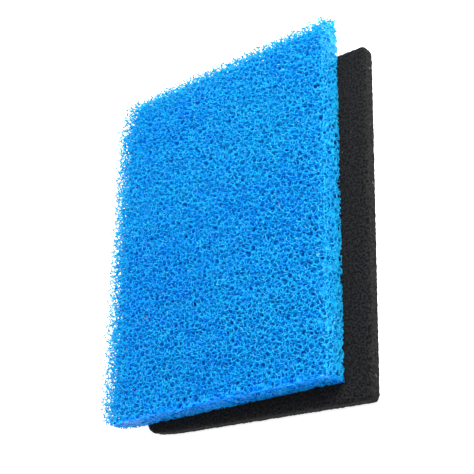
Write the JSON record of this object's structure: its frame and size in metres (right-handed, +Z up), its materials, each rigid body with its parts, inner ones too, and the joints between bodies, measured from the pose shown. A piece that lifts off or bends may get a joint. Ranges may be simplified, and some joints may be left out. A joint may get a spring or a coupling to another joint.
{
  "type": "sponge filter pad set",
  "caption": "Flat sponge filter media: a thick coarse-celled foam pad lying on a thinner fine-celled foam pad, free to lift off for rinsing.",
  "frame": {"origin": "centre of the fine pad's underside, on the surface the pads lie on", "axes": "+Z up through both pads, +Y along the pads' long side, +X along their short side towards the edge where the fine pad shows beyond the coarse pad"},
  "size_m": [0.2752, 0.3358, 0.0355],
  "materials": {
    "coarse_foam": "open-celled polyurethane foam, bright blue, slightly glossy strands",
    "fine_foam": "fine-celled polyurethane foam, charcoal black, matt"
  },
  "bodies": {
    "fine_pad": {"fine_foam_pad": "fine_foam"},
    "coarse_pad": {"coarse_foam_pad": "coarse_foam"}
  },
  "joints": [
    {"name": "coarse_pad_lift", "type": "slide", "parent": "fine_pad", "child": "coarse_pad", "axis": [0, 0, 1], "range_m": [0, 0.06]}
  ]
}
